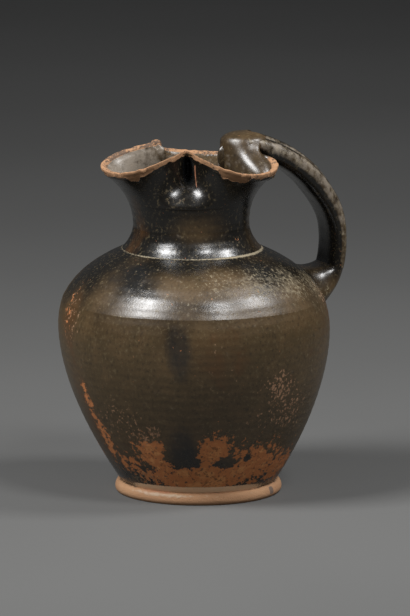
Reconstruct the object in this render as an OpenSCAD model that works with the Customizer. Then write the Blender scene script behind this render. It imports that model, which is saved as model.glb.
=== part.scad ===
// Trefoil-mouthed wine jug (oinochoe) of thrown clay sections, luted together and slipped black.
// Millimetres, +Z up. The origin is the centre of the flat ring that the jug rests on.
// The spout points to -X and the handle stands at +X. All that stands on the foot ring
// leans a little towards the spout, as the hand-made jug does.
// Heights are measured from the resting face, before the lean.

/* [Foot ring] */
// Radius of the outer edge of the resting face
foot_rest_r = 40; // [38:0.5:41]
// Largest radius of the ring, at its rounded outer edge
foot_edge_r = 41.8; // [41:0.2:45]
// Height of the rounded outer edge above the resting face
foot_edge_z = 2.4; // [1.5:0.1:3.5]
// Radius of the waist between ring and body
foot_waist_r = 39; // [37.5:0.5:40.5]
// Height of the ring, where the floor of the body sits on it
foot_h = 6; // [5:0.5:9]
// Width of the clay of the ring across its resting face
foot_ring_w = 8; // [6:0.5:12]
// How much wider the ring is at its top than at its resting face, on the inner side
foot_inner_slope = 1.5; // [0:0.5:3]

/* [Body] */
// Outer radius of the belly
belly_r = 68.3; // [62:0.1:76]
// Height of the widest place of the belly
belly_z = 83.5; // [76:0.5:90]
// Height of the luted join between lower body and shoulder
shoulder_join_z = 98.5; // [94:0.5:106]
// Radius of the seam between shoulder and neck
neck_seam_r = 35; // [33:0.5:38]
// Height of the seam between shoulder and neck
neck_seam_z = 123.5; // [118:0.5:128]
// Thickness of the wall of lower body and shoulder
body_wall = 4.5; // [3:0.5:6]
// Thickness of the floor
floor_t = 6; // [4:0.5:9]
// Angle by which everything above the foot ring leans towards the spout
lean = 1.8; // [0:0.1:3]

/* [Neck] */
// Outer radius of the neck at its narrowest
neck_r = 29.1; // [27:0.1:31]
// Height of the narrowest place of the neck
neck_waist_z = 136; // [133:0.5:140]
// Outer radius of the neck where the mouth begins
mouth_join_r = 31.4; // [30.5:0.1:33]
// Height of the luted join between neck and mouth
mouth_join_z = 148; // [145:0.5:151]
// Thickness of the wall of neck and mouth
neck_wall = 4; // [3:0.5:5]

/* [Trefoil mouth] */
// Radius of the rim at the three lobes
lobe_r = 45; // [42:0.5:47]
// Height of the rim at the spout
spout_z = 166.5; // [164:0.1:169]
// Height of the rim at the two side lobes
side_lobe_z = 164.3; // [162:0.1:166.5]
// Height of the upright outer face of the lip
lip_h = 3.8; // [2:0.1:5]
// How far the lip's outer face leans outwards
lip_flare = 0.6; // [0:0.1:1.2]
// Thickness of the lip
lip_t = 3.6; // [2.5:0.1:4.5]
// Radius of the rim at the two thumb pinches
pinch_r = 19; // [16:0.5:26]
// Height of the rim at the pinches above the side lobes
pinch_rise = 11.5; // [6:0.5:13]
// Angle of each pinch from the middle of the spout
pinch_angle = 60.5; // [54:0.5:66]
// Angular width over which the rim is drawn in at each pinch
pinch_spread = 23; // [18:1:26]
// Angular width over which the rim rises at each pinch
pinch_rise_spread = 33; // [28:1:36]
// Radius of the rim where the handle presses it inwards
handle_press_r = 22; // [20:0.5:25]
// Angular width of the place pressed in by the handle
handle_press_spread = 17; // [15:1:20]
// Height of the rim under the root of the handle
rim_seat_z = 170.2; // [168.5:0.1:172.5]

/* [Handle] */
// Width of the strap
strap_w = 24; // [18:0.5:28]
// Thickness of the strap at its middle rib
strap_t = 9.5; // [7:0.5:11]
// Depth of the two grooves along the outer face of the strap
strap_groove = 1; // [0:0.1:1.5]
// Distance from the jug's axis to the start of the strap behind its upper root
strap_start_x = 31; // [29:0.5:33]
// How far the middle of the strap stands out beyond the belly
handle_overhang = 10.5; // [7:0.5:16]
// Height of the outermost place of the handle
handle_reach_z = 125; // [120:0.5:130]
// Height at which the strap meets its lower root
strap_end_z = 107; // [105:0.5:111]
// Width of the tongue of clay under the upper root, on the outside of the mouth
tongue_w = 9; // [6:0.5:12]
// How far the lower root reaches along the body, sideways from its middle
root_spread_w = 17; // [14:0.5:21]
// How far the lower root reaches along the body, up and down from its middle
root_spread_h = 12.5; // [9:0.5:15]

/* [Hidden] */
$fn = 96;

slip_black = "#2b2620";
slip_olive = "#39321f";
bare_clay = "#c07a4e";

// Steps along each curve of the thrown sections, and round the foot ring's edge
curve_steps = 14;
edge_steps = 8;
// Columns round the mouth, and rows from its join to its lip
mouth_columns = 72;
mouth_rows = 11;
// Points round the strap, and rings along its upper arc, its lower bend and its lower root
strap_points = 32;
arc_rings = 26;
bend_rings = 6;
root_rings = 8;
// Points round the upper root, and rings up its tongue and its knob
upper_root_points = 24;
tongue_rings = 4;
knob_rings = 7;

// A thrown wall's bore has no point nearer than this to the flat face that ends it
least_step = 1;
// The blocks that cut the body at a height are cubes of this size
cutter = 400;

// ---------- Curves ----------

// Point, and direction of travel, at share t along the curve with the end and pull points p
function bezier(p, t) = pow(1 - t, 3) * p[0] + 3 * pow(1 - t, 2) * t * p[1]
    + 3 * (1 - t) * t * t * p[2] + pow(t, 3) * p[3];
function heading(p, t) = pow(1 - t, 2) * (p[1] - p[0]) + 2 * (1 - t) * t * (p[2] - p[1])
    + t * t * (p[3] - p[2]);
function unit(v) = v / norm(v);
function curve(p) = [for (i = [0:curve_steps]) bezier(p, i / curve_steps)];
// The same curve, moved towards the axis by the thickness of the wall
function inside_curve(p, wall) = [for (i = [0:curve_steps])
    let (d = unit(heading(p, i / curve_steps))) bezier(p, i / curve_steps) + wall * [-d[1], d[0]]];
// Two curves in a row, with the point that they share only once
function joined(first, second) = concat(first, [for (i = [1:len(second) - 1]) second[i]]);
function backwards(list) = [for (i = [len(list) - 1:-1:0]) list[i]];
// 0 below zero, 1 above one, and smooth between
function smooth(x) = let (c = min(max(x, 0), 1)) c * c * (3 - 2 * c);

// Outer curves of the thrown sections, as [radius, height]. Each end of a curve keeps its
// direction over the pull that is named here.
flank_foot_pull = [14, 21.5];
flank_belly_pull = [0, 25];
shoulder_belly_pull = [0, 19.5];
shoulder_seam_pull = [22, -8.5];
neck_seam_pull = [-3.5, 2];
neck_waist_pull = [0, 8];
belly = [belly_r, belly_z];
neck_seam = [neck_seam_r, neck_seam_z];
neck_waist = [neck_r, neck_waist_z];
mouth_join = [mouth_join_r, mouth_join_z];

flank_curve = [[foot_waist_r, foot_h], [foot_waist_r, foot_h] + flank_foot_pull,
               belly - flank_belly_pull, belly];
shoulder_curve = [belly, belly + shoulder_belly_pull, neck_seam + shoulder_seam_pull, neck_seam];
neck_fillet_curve = [neck_seam, neck_seam + neck_seam_pull, neck_waist - neck_waist_pull, neck_waist];

// Above its waist the neck widens as a parabola, and the mouth starts in the direction where it ends
neck_top_slope = 2 * (mouth_join_r - neck_r) / (mouth_join_z - neck_waist_z);
neck_top_pull = (mouth_join_z - neck_waist_z) / 3;
neck_top_curve = [neck_waist, neck_waist + [0, neck_top_pull],
                  mouth_join - neck_top_pull * [neck_top_slope, 1], mouth_join];

// The mouth's outer curve at a lobe, which ends under the upright face of the lip
flare_low_pull = 7;
flare_high_pull = [5.4, 5];
lip_foot = [lobe_r - lip_flare, side_lobe_z - lip_h];
flare_curve = [mouth_join, mouth_join + flare_low_pull * [neck_top_slope, 1],
               lip_foot - flare_high_pull, lip_foot];

// ---------- Placing and cutting ----------

// Everything on the foot ring leans about the middle of the ring's top
module leaning() {
    translate([0, 0, foot_h]) rotate([0, -lean, 0]) translate([0, 0, -foot_h]) children();
}

// All the space above or below a height
module space_above(z) { translate([-cutter / 2, -cutter / 2, z]) cube(cutter); }
module space_below(z) { translate([-cutter / 2, -cutter / 2, z - cutter]) cube(cutter); }

// ---------- Foot ring ----------

module foot_ring() {
    rest_in_r = foot_rest_r - foot_ring_w;
    lower_edge = [for (i = [0:edge_steps]) let (a = 90 * i / edge_steps)
        [foot_rest_r + (foot_edge_r - foot_rest_r) * sin(a), foot_edge_z * (1 - cos(a))]];
    upper_edge = [for (i = [0:edge_steps]) let (a = 90 * i / edge_steps)
        [foot_waist_r + (foot_edge_r - foot_waist_r) * cos(a),
         foot_edge_z + (foot_h - foot_edge_z) * sin(a)]];
    color(bare_clay) rotate_extrude() polygon(concat(
        [[rest_in_r, 0]], joined(lower_edge, upper_edge), [[rest_in_r - foot_inner_slope, foot_h]]));
}

// ---------- Body: lower body and shoulder ----------

// Radius of the passage through the seam between shoulder and neck
passage_r = neck_seam_r - body_wall - neck_wall;
// How far the bevel between floor and flank reaches inwards
floor_bevel = 4;

// The shape of the body as if it were solid clay, with a stub inside the foot ring below it
module body_solid() {
    rotate_extrude() polygon(concat([[0, 0], [foot_waist_r, 0]],
                                    joined(curve(flank_curve), curve(shoulder_curve)),
                                    [[0, neck_seam_z]]));
}

module body_cavity() {
    floor_z = foot_h + floor_t;
    flank = [for (p = inside_curve(flank_curve, body_wall)) if (p[1] > floor_z + least_step) p];
    vault = [for (p = inside_curve(shoulder_curve, body_wall)) if (p[0] > passage_r) p];
    vault_top = vault[len(vault) - 1][1];
    past_seam_z = neck_seam_z + least_step;
    rotate_extrude() polygon(concat([[0, floor_z], [flank[0][0] - floor_bevel, floor_z]],
                                    joined(flank, vault),
                                    [[passage_r, vault_top], [passage_r, past_seam_z], [0, past_seam_z]]));
}

module body_shell() {
    difference() {
        body_solid();
        body_cavity();
    }
}

module lower_body() {
    color(slip_olive) difference() {
        leaning() difference() {
            body_shell();
            space_above(shoulder_join_z);
        }
        space_below(foot_h);
    }
}

module shoulder() {
    color(slip_olive) leaning() difference() {
        body_shell();
        space_below(shoulder_join_z);
    }
}

// ---------- Neck ----------

module neck() {
    outer = joined(curve(neck_fillet_curve), curve(neck_top_curve));
    inner = joined(inside_curve(neck_fillet_curve, neck_wall), inside_curve(neck_top_curve, neck_wall));
    bore = [for (p = inner)
        if (p[1] > neck_seam_z + least_step && p[1] < mouth_join_z - least_step && p[0] < passage_r) p];
    color(slip_black) leaning() rotate_extrude() polygon(concat(
        outer, [[mouth_join_r - neck_wall, mouth_join_z]], backwards(bore), [[passage_r, neck_seam_z]]));
}

// ---------- Lofted shapes ----------

// A skin over rings of points. Each ring has as many points as the next.
// The ends are capped, or joined to each other in a closed loop.
module loft(rings, looped = false) {
    count = len(rings[0]);
    last = len(rings) - 1;
    points = [for (ring = rings) each ring];
    sides = [for (i = [0:looped ? last : last - 1], j = [0:count - 1])
        let (a = i * count + j, b = i * count + (j + 1) % count,
             c = ((i + 1) % (last + 1)) * count + (j + 1) % count,
             d = ((i + 1) % (last + 1)) * count + j)
        each [[a, d, c], [a, c, b]]];
    caps = looped ? [] : [[for (j = [0:count - 1]) j],
                          [for (j = [count - 1:-1:0]) last * count + j]];
    polyhedron(points, concat(sides, caps), convexity = 8);
}

// ---------- Trefoil mouth ----------

// Directions round the mouth, in degrees: 0 is the handle, and 180 the spout
function angle_between(a, b) = abs((a - b + 900) % 360 - 180);
function dent(a, middle, spread, power) = exp(-pow(angle_between(a, middle) / spread, power));
function pinches(a, spread) = dent(a, 180 - pinch_angle, spread, 2)
    + dent(a, 180 + pinch_angle, spread, 2);
// The place that the handle presses in has a flatter bottom than a pinch
handle_press_power = 2.5;

// The rim is level under the root of the handle, then slopes down to the lobe on either side
seat_half_angle = 14;
seat_slope_angle = 16;
function seated(a) = smooth((seat_half_angle + seat_slope_angle - angle_between(a, 0))
                            / seat_slope_angle);
// 1 in the spout, 0 in the side lobes, changing over this angle at the pinches
spout_blend_angle = 24;
function at_spout(a) = smooth((pinch_angle + spout_blend_angle / 2 - angle_between(a, 180))
                              / spout_blend_angle);

// Radius and height of the outer wall of the mouth, in direction a, at share t of its rise
function mouth_r(a, t) = bezier(flare_curve, t)[0] - smooth(t)
    * ((lobe_r - pinch_r) * pinches(a, pinch_spread)
       + (lobe_r - handle_press_r) * dent(a, 0, handle_press_spread, handle_press_power));
function rim_rise(a) = let (risen = pinches(a, pinch_rise_spread))
    max((rim_seat_z - side_lobe_z) * seated(a),
        pinch_rise * risen + (spout_z - side_lobe_z) * at_spout(a) * (1 - min(1, risen)));
function mouth_z(a, t) = bezier(flare_curve, t)[1] + t * t * rim_rise(a);

// Level thickness of the wall. It is greater where the wall slopes, up to a limit, so that the
// clay stays even. The ends of the rise keep the plain thickness of neck and lip.
most_widened = 1.6;
function mouth_wall(a, t) =
    let (steep = heading(flare_curve, t), turn = (mouth_r(a + 1, t) - mouth_r(a - 1, t)) * 90 / PI,
         even = norm([1, steep[0] / steep[1]]) * norm([1, turn / mouth_r(a, t)]))
    (neck_wall + (lip_t - neck_wall) * t)
    * (1 + (min(even, most_widened) - 1) * smooth(3 * t) * (1 - t));

// The handle's upper root is luted to a flat place of the wall, which slopes inwards as it rises
seat_depth = 4;
seat_margin = 2;
seat_foot_gap = 3;
seat_top_x = strap_start_x - seat_depth;
function seat_x(z) = mouth_join_r
    + (seat_top_x - mouth_join_r) * (z - mouth_join_z) / (rim_seat_z - mouth_join_z);

function mouth_outer(a, r, z) =
    let (under_root = angle_between(a, 0) < seat_half_angle + seat_slope_angle
             && r * sin(angle_between(a, 0)) < tongue_w / 2 + seat_margin,
         on_seat = under_root && z > mouth_join_z + seat_foot_gap && r * cos(a) < seat_x(z))
    on_seat ? [seat_x(z), seat_x(z) * tan(a), z] : [r * cos(a), r * sin(a), z];
function mouth_inner(a, t) =
    let (r = mouth_r(a, t) - mouth_wall(a, t)) [r * cos(a), r * sin(a), mouth_z(a, t) + lip_h * t * t];

module trefoil_mouth() {
    angles = [for (j = [0:mouth_columns - 1]) 360 * j / mouth_columns];
    outer_rings = [for (i = [0:mouth_rows]) let (t = i / mouth_rows)
        [for (a = angles) mouth_outer(a, mouth_r(a, t), mouth_z(a, t))]];
    lip_ring = [for (a = angles) mouth_outer(a, mouth_r(a, 1) + lip_flare, mouth_z(a, 1) + lip_h)];
    inner_rings = [for (i = [mouth_rows:-1:0]) [for (a = angles) mouth_inner(a, i / mouth_rows)]];
    color(slip_black) leaning() loft(concat(outer_rings, [lip_ring], inner_rings), looped = true);
}

// ---------- Handle ----------

// The strap's middle line, seen from the side as [x, z]: over the top and down to the lower root.
// The ends of its curves keep their direction over these pulls.
strap_top_pull = [15, 0];
strap_side_pull = [0, 31];
strap_bend_pull = [0, 7];
strap_end_inset = 2.2;
strap_end_pull = [-1.6, -5];
strap_start = [strap_start_x, rim_seat_z + strap_t / 2];
strap_outermost = [belly_r + handle_overhang, handle_reach_z];
strap_end = [strap_outermost[0] - strap_end_inset, strap_end_z];
strap_arc = [strap_start, strap_start + strap_top_pull, strap_outermost + strap_side_pull,
             strap_outermost];
strap_bend = [strap_outermost, strap_outermost - strap_bend_pull, strap_end - strap_end_pull,
              strap_end];
// The lower root turns from the strap's end into the shoulder
root_turn = [1, -10];
root_sink = [-14, -16];
root_path = [strap_end, strap_end + strap_end_pull,
             [belly_r, strap_end_z] + root_turn, [belly_r, strap_end_z] + root_sink];

// The strap is a flat oval, fuller than an ellipse, with two grooves on its outer face
oval_power = 0.8;
groove_place = 0.42;
groove_half_width = 0.16;
function fuller(x) = sign(x) * pow(abs(x), oval_power);
// Its cross-section: [across, outwards]
function strap_section(half_w, half_t, groove) = [for (k = [0:strap_points - 1])
    let (a = 360 * k / strap_points, across = fuller(cos(a)),
         in_groove = a < 180 ? exp(-pow((abs(across) - groove_place) / groove_half_width, 2)) : 0)
    [half_w * across, half_t * fuller(sin(a)) - groove * in_groove]];
// That section, standing square to a path in the handle's plane
function section_ring(section, path, t) =
    let (middle = bezier(path, t), d = unit(heading(path, t)))
    [for (s = section) [middle[0] - s[1] * d[1], s[0], middle[1] + s[1] * d[0]]];

module handle() {
    section = strap_section(strap_w / 2, strap_t / 2, strap_groove);
    arc = [for (i = [0:arc_rings]) section_ring(section, strap_arc, i / arc_rings)];
    bend = [for (i = [0:bend_rings]) section_ring(section, strap_bend, i / bend_rings)];
    color(slip_black) leaning() loft(joined(arc, bend));
}

// ---------- Roots of the handle ----------

// A half-round knob on the rim's level seat, as high as the strap behind it
knob_power = 2.5;
knob_last_angle = 83;
module upper_root_knob() {
    reach = strap_start_x - handle_press_r + neck_wall;
    loft([for (i = [0:knob_rings])
        let (a = knob_last_angle * i / knob_rings,
             shrink = pow(1 - pow(sin(a), knob_power), 1 / knob_power))
        [for (k = [0:upper_root_points - 1]) let (b = 180 * k / (upper_root_points - 1))
            [strap_start_x - reach * shrink * sin(b), strap_w / 2 * shrink * cos(b),
             rim_seat_z + strap_t * sin(a)]]]);
}

// A tongue down the flat place of the wall, thin and narrow at its foot
tongue_foot_rise = 6;
tongue_foot_t = 0.4;
tongue_foot_share = 0.6;
tongue_power = 0.7;
module upper_root_tongue() {
    foot_z = mouth_join_z + tongue_foot_rise;
    loft([for (i = [0:tongue_rings])
        let (share = i / tongue_rings, z = foot_z + (rim_seat_z - foot_z) * share,
             depth = tongue_foot_t + seat_depth * pow(share, tongue_power),
             half_w = tongue_w / 2 * (tongue_foot_share + (1 - tongue_foot_share) * share))
        [for (k = [upper_root_points - 1:-1:0]) let (b = 180 * k / (upper_root_points - 1))
            [seat_x(z) + depth * sin(b), half_w * cos(b), z]]]);
}

module handle_upper_root() {
    color(slip_black) leaning() {
        upper_root_tongue();
        upper_root_knob();
    }
}

// The clay that spreads the strap's lower end over the shoulder
module handle_lower_root() {
    rings = [for (i = [0:root_rings]) let (t = i / root_rings, grown = smooth(t))
        section_ring(strap_section(strap_w / 2 + (root_spread_w - strap_w / 2) * grown,
                                   strap_t / 2 + (root_spread_h - strap_t / 2) * grown,
                                   strap_groove * (1 - grown)), root_path, t)];
    color(slip_black) leaning() difference() {
        loft(rings);
        body_solid();
    }
}

foot_ring();
lower_body();
shoulder();
neck();
trefoil_mouth();
handle();
handle_upper_root();
handle_lower_root();
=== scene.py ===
import math
from functools import partial

import bmesh
import bpy
import numpy as np
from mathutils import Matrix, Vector, noise


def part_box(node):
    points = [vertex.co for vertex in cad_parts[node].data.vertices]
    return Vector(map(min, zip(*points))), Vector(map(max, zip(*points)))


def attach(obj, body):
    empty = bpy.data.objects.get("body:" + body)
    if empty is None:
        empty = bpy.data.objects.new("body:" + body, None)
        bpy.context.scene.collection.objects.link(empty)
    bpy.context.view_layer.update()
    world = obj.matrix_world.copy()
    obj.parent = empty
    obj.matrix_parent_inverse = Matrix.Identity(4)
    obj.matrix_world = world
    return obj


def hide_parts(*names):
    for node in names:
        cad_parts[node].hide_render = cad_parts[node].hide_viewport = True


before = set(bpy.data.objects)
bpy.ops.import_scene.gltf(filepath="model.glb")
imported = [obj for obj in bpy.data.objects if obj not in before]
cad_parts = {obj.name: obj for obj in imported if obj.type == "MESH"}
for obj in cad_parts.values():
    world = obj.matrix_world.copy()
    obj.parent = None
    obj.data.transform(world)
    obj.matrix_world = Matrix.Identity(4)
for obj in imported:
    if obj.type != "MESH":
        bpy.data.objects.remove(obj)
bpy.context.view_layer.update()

# A wheel-thrown clay jug with a trefoil mouth and a ribbed strap handle.
# Shapes are worked out in millimetres and made into meshes in metres. Z is up, the spout
# points to -X and the handle stands at +X. Directions round the jug are in degrees: 0 is
# the handle, 180 the spout, and 270 the side nearest the camera.
MM = 0.001

# ---- sizes taken from the frame

def box_mm(node):
    """Lowest and highest corner of a CAD node, in millimetres."""
    low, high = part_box(node)
    return Vector(low) / MM, Vector(high) / MM

def join_z(below, above):
    """Height of the luted join between two sections, at the jug's axis."""
    return (box_mm(below)[1].z + box_mm(above)[0].z) / 2

foot_high = box_mm("foot_ring")[1]
neck_low, neck_high = box_mm("neck")
handle_low, handle_high = box_mm("handle")
foot_edge_r = foot_high.x
foot_h = foot_high.z
belly_r = box_mm("lower_body")[1].y
shoulder_join_z = join_z("lower_body", "shoulder")
neck_seam_r = neck_high.y
neck_seam_z = join_z("shoulder", "neck")
mouth_join_z = join_z("neck", "trefoil_mouth")
# The jug leans towards the spout: its axis moves by this share of the height above the foot
lean = -(neck_low.x + neck_high.x) / 2 / (neck_seam_z - foot_h)

# ---- sizes of the thrown sections

foot_rest_r = 40
foot_edge_z = 2.4
foot_waist_r = 39
foot_ring_w = 8
belly_z = 83.5
body_wall = 4.5
floor_t = 6
neck_r = 29.1
neck_waist_z = 136
mouth_join_r = 31.4
neck_wall = 4
# The wall turns at the luted join in a soft ridge
turning_ridge = 0.42
turning_reach = 4
# How far the wall's curves run straight on from their ends, outwards and upwards
foot_waist_pull = (14.5, 22)
belly_pull_down = 25.5
belly_pull_up = 18.4
shoulder_seam_pull = (21.5, -9.2)
neck_seam_pull = (-4.3, 4.5)
neck_waist_pull = 3.4
# What the hand leaves on the wall: finger ridges and a slow unevenness
finger_ridge_spacing = 4.2
unevenness_size = 48
unevenness_room = 0.25

# ---- sizes of the mouth

lobe_r = 45
lobe_z = 165
lip_h = 3.8
lip_t = 3.6
lip_flare = 1.6
mouth_join_pull = 4.4
lip_foot_pull = (5.2, 2.9)
pinch_spread = 23.5
pinch_rise = 10
pinch_rise_spread = 32
front_pinch_angle = 241.6
front_pinch_r = 19.3
back_pinch_angle = 120.1
back_pinch_r = 20.5
handle_press_r = 22
handle_press_spread = 17
handle_press_power = 2.5
rim_seat_rise = 10
rim_seat_spread = 22
# The thumb that drew in the front pinch left a deep pit beside the fold
thumb_pit_angle = 243.5
thumb_pit_z = 165.5
thumb_pit_depth = 6
thumb_pit_half_w = 3.0
thumb_pit_half_h = 6.4
# Slip is worn off this far below the rim's top, and further where it is flaked off:
# direction, half width in degrees, depth
worn_edge_h = 2.5
lip_flakes = [(203.5, 5.5, 2.6), (212, 4, 1.1), (273, 4, 2.3), (279, 4, 2.0), (285, 3.2, 2.6),
              (318, 6, 0.8), (170, 9, 0.9), (60, 12, 1.6), (88, 8, 1.0), (30, 7, 1.2)]
broken_end_angle = 119
crack_angle = 253

# ---- sizes of the handle

strap_w = handle_high.y - handle_low.y
strap_t = 9.5
strap_start_x = 31
strap_mid_z = 174.6
handle_reach = 78.4
handle_reach_z = 125
strap_end = Vector((76.4, 107))
strap_end_pull = Vector((-1.6, -5))
# The strap is thicker on its inner side over the top of its arc
strap_extra_t = 3.2
arc_middle = (44, 138)
# The column of clay under the strap's end runs back into the strap at its top, and spreads
# to the near lobe's wall low down
column_x = 26
column_front = 13
column_back = 3.5
column_half_w = 12
column_strap_reach = 7.5
column_lobe_reach = 11
column_spread = 14
column_base_z = 150
column_side_top_z = 174.5
column_top_z = 180.3
column_dome_power = 2.5
# The clay under the strap's lower end: middle height, half width, reach up and down, and how
# far it runs straight on from the strap
smear_z = 98
smear_half_w = 18.5
smear_up = 15.5
smear_down = 10
smear_straight = 5.5
smear_outer_straight = 9.5

# ---- curves

def bezier(p, t):
    """Points at the shares t along the curve with the end and pull points p."""
    t = np.asarray(t, float)[..., None]
    p = [np.asarray(q, float) for q in p]
    return (1 - t)**3 * p[0] + 3 * (1 - t)**2 * t * p[1] + 3 * (1 - t) * t**2 * p[2] + t**3 * p[3]

def smooth(x):
    """0 below zero, 1 above one, and smooth between."""
    c = np.clip(x, 0, 1)
    return c * c * (3 - 2 * c)

def bump_at(x, middle, half_width, power=2):
    """1 at the middle, falling off on both sides."""
    return np.exp(-np.abs((x - middle) / half_width)**power)

def angle_gap(a, b):
    """Signed degrees from direction b to direction a."""
    return (np.asarray(a, float) - b + 180) % 360 - 180

def dent(a, middle, spread, power=2):
    """1 in the middle direction, falling off to both sides of it."""
    return bump_at(angle_gap(a, middle), 0, spread, power)

def rough(a, length, seed):
    """Unevenness of hand work round a rim, about -1 to 1, at this length in degrees."""
    turned = np.radians(a)
    step = 57.3 / length  # a radian has 57.3 degrees
    return np.array([2 * noise.noise((step * c, step * s, seed))
                     for c, s in zip(np.cos(turned), np.sin(turned))])

def shares(steps):
    """Even shares from 0 to 1, with a close pair at each end that keeps the shading true."""
    edge = 0.05 / steps
    return np.unique(np.concatenate(([0, edge], np.linspace(0, 1, steps + 1), [1 - edge, 1])))

foot_waist = np.array((foot_waist_r, foot_h))
belly = np.array((belly_r - unevenness_room, belly_z))
neck_seam = np.array((neck_seam_r, neck_seam_z))
neck_waist = np.array((neck_r, neck_waist_z))
mouth_join = np.array((mouth_join_r, mouth_join_z))

flank_curve = [foot_waist, foot_waist + foot_waist_pull, belly - (0, belly_pull_down), belly]
shoulder_curve = [belly, belly + (0, belly_pull_up), neck_seam + shoulder_seam_pull, neck_seam]
neck_fillet_curve = [neck_seam, neck_seam + neck_seam_pull, neck_waist - (0, neck_waist_pull),
                     neck_waist]
neck_top_slope = 2 * (mouth_join_r - neck_r) / (mouth_join_z - neck_waist_z)
neck_top_pull = (mouth_join_z - neck_waist_z) / 3
neck_top_curve = [neck_waist, neck_waist + (0, neck_top_pull),
                  mouth_join - (neck_top_pull * neck_top_slope, neck_top_pull), mouth_join]
lip_foot = np.array((lobe_r - lip_flare, lobe_z - lip_h))
flare_curve = [mouth_join, mouth_join + (mouth_join_pull * neck_top_slope, mouth_join_pull),
               lip_foot - lip_foot_pull, lip_foot]

def directions(points):
    """Unit vectors along a line of points."""
    along = np.gradient(points, axis=0)
    return along / np.linalg.norm(along, axis=1)[:, None]

def wall_inside(outline, wall):
    """The outline moved towards the axis by the wall's thickness."""
    along = directions(outline)
    return outline + wall * np.column_stack((-along[:, 1], along[:, 0]))

body_curve = np.vstack((bezier(flank_curve, np.linspace(0, 1, 90)),
                        bezier(shoulder_curve, np.linspace(0, 1, 70))[1:]))

def body_r(z):
    """Outer radius of the body at a height."""
    ridge = turning_ridge * bump_at(z, shoulder_join_z, turning_reach, 1)
    return np.interp(z, body_curve[:, 1], body_curve[:, 0]) + ridge

def axis_x(z):
    """Where the leaning axis stands at a height."""
    return -lean * (z - foot_h)

def round_point(a, r, z):
    """Points about the leaning axis, from their directions, radii and heights."""
    turned = np.radians(a)
    return np.column_stack((axis_x(z) + r * np.cos(turned), r * np.sin(turned), z))

# ---- making meshes and trees

def add(tree, kind, *values, out=0, named=(), **settings):
    """Adds a node with its settings and links, and returns the output asked for."""
    made = tree.nodes.new(kind)
    for key, value in settings.items():
        setattr(made, key, value)
    for socket, value in (*enumerate(values), *dict(named).items()):
        if isinstance(value, bpy.types.NodeSocket):
            tree.links.new(value, made.inputs[socket])
        elif value is not None:
            made.inputs[socket].default_value = value
    return made.outputs[out] if made.outputs else made

# Kinds of node that are used often
MATHS = "ShaderNodeMath"
VECTOR_MATHS = "ShaderNodeVectorMath"
JOIN_XYZ = "ShaderNodeCombineXYZ"
SPLIT_XYZ = "ShaderNodeSeparateXYZ"
RANGE = "ShaderNodeMapRange"
MIX = "ShaderNodeMix"
NOISE = "ShaderNodeTexNoise"
POSITION = "GeometryNodeInputPosition"
SET_POSITION = "GeometryNodeSetPosition"
STORED = "GeometryNodeInputNamedAttribute"

def new_tree(name, inputs):
    """A geometry tree with named inputs; returns its adder and the inputs' sockets."""
    tree = bpy.data.node_groups.new(name, "GeometryNodeTree")
    tree.interface.new_socket("Geometry", in_out="INPUT", socket_type="NodeSocketGeometry")
    for label, kind in inputs.items():
        tree.interface.new_socket(label, in_out="INPUT", socket_type="NodeSocket" + kind)
    tree.interface.new_socket("Geometry", in_out="OUTPUT", socket_type="NodeSocketGeometry")
    return tree, partial(add, tree), tree.nodes.new("NodeGroupInput").outputs

def end_tree(node, shape, material):
    """Closes a geometry tree: doubles merged, instances made real, material set."""
    shape = node("GeometryNodeMergeByDistance", shape, named={"Distance": 0.003 * MM})
    shape = node("GeometryNodeRealizeInstances", shape)
    node("NodeGroupOutput", node("GeometryNodeSetMaterial", shape, named={"Material": material}))

def grow(source, tree, values):
    """Runs a geometry tree on a source object and returns the result as a plain mesh."""
    modifier = source.modifiers.new(tree.name, "NODES")
    modifier.node_group = tree
    for item in tree.interface.items_tree:
        if item.in_out == "INPUT" and item.name in values:
            modifier[item.identifier] = values[item.name]
    evaluated = source.evaluated_get(bpy.context.evaluated_depsgraph_get())
    mesh = bpy.data.meshes.new_from_object(evaluated)
    source.modifiers.remove(modifier)
    return mesh

def placed(name, data):
    """A new object in the scene that shows a mesh, a light or a camera."""
    made = bpy.data.objects.new(name, data)
    bpy.context.scene.collection.objects.link(made)
    return made

def piece_of(name, mesh, material):
    """A piece at the origin that shows a mesh in one material."""
    mesh.materials.clear()
    mesh.materials.append(material)
    return placed(name, mesh)

def finished(name, mesh, material, crisp_angle=38):
    """A piece with doubles merged, faces outwards, smooth, and its crisp edges kept."""
    work = bmesh.new()
    work.from_mesh(mesh)
    bmesh.ops.remove_doubles(work, verts=work.verts, dist=0.004 * MM)
    bmesh.ops.recalc_face_normals(work, faces=work.faces)
    for face in work.faces:
        face.smooth = True
    work.to_mesh(mesh)
    work.free()
    mesh.set_sharp_from_angle(angle=math.radians(crisp_angle))
    return piece_of(name, mesh, material)

def skinned(name, rings, material, looped=False):
    """A piece that is a skin over closed rings of points in millimetres, each as long as the
    next, with its ends capped unless the last ring meets the first."""
    count, total = len(rings[0]), len(rings)
    faces = []
    for i in range(total if looped else total - 1):
        a, b = i * count, (i + 1) % total * count
        faces += [(a + j, a + (j + 1) % count, b + (j + 1) % count, b + j) for j in range(count)]
    if not looped:
        faces += [tuple(range(count))[::-1], tuple((total - 1) * count + j for j in range(count))]
    mesh = bpy.data.meshes.new(name)
    mesh.from_pydata((np.vstack(rings) * MM).tolist(), [], faces)
    return finished(name, mesh, material)

def outline_object(name, outline, **values):
    """A line through [across, up] points in millimetres, with one value a point for each
    named attribute, as a tree's source."""
    mesh = bpy.data.meshes.new(name)
    points = [(x * MM, 0, z * MM) for x, z in outline]
    mesh.from_pydata(points, [(i, i + 1) for i in range(len(points) - 1)], [])
    source = placed(name, mesh)
    paint(source, **values)
    return source

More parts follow.
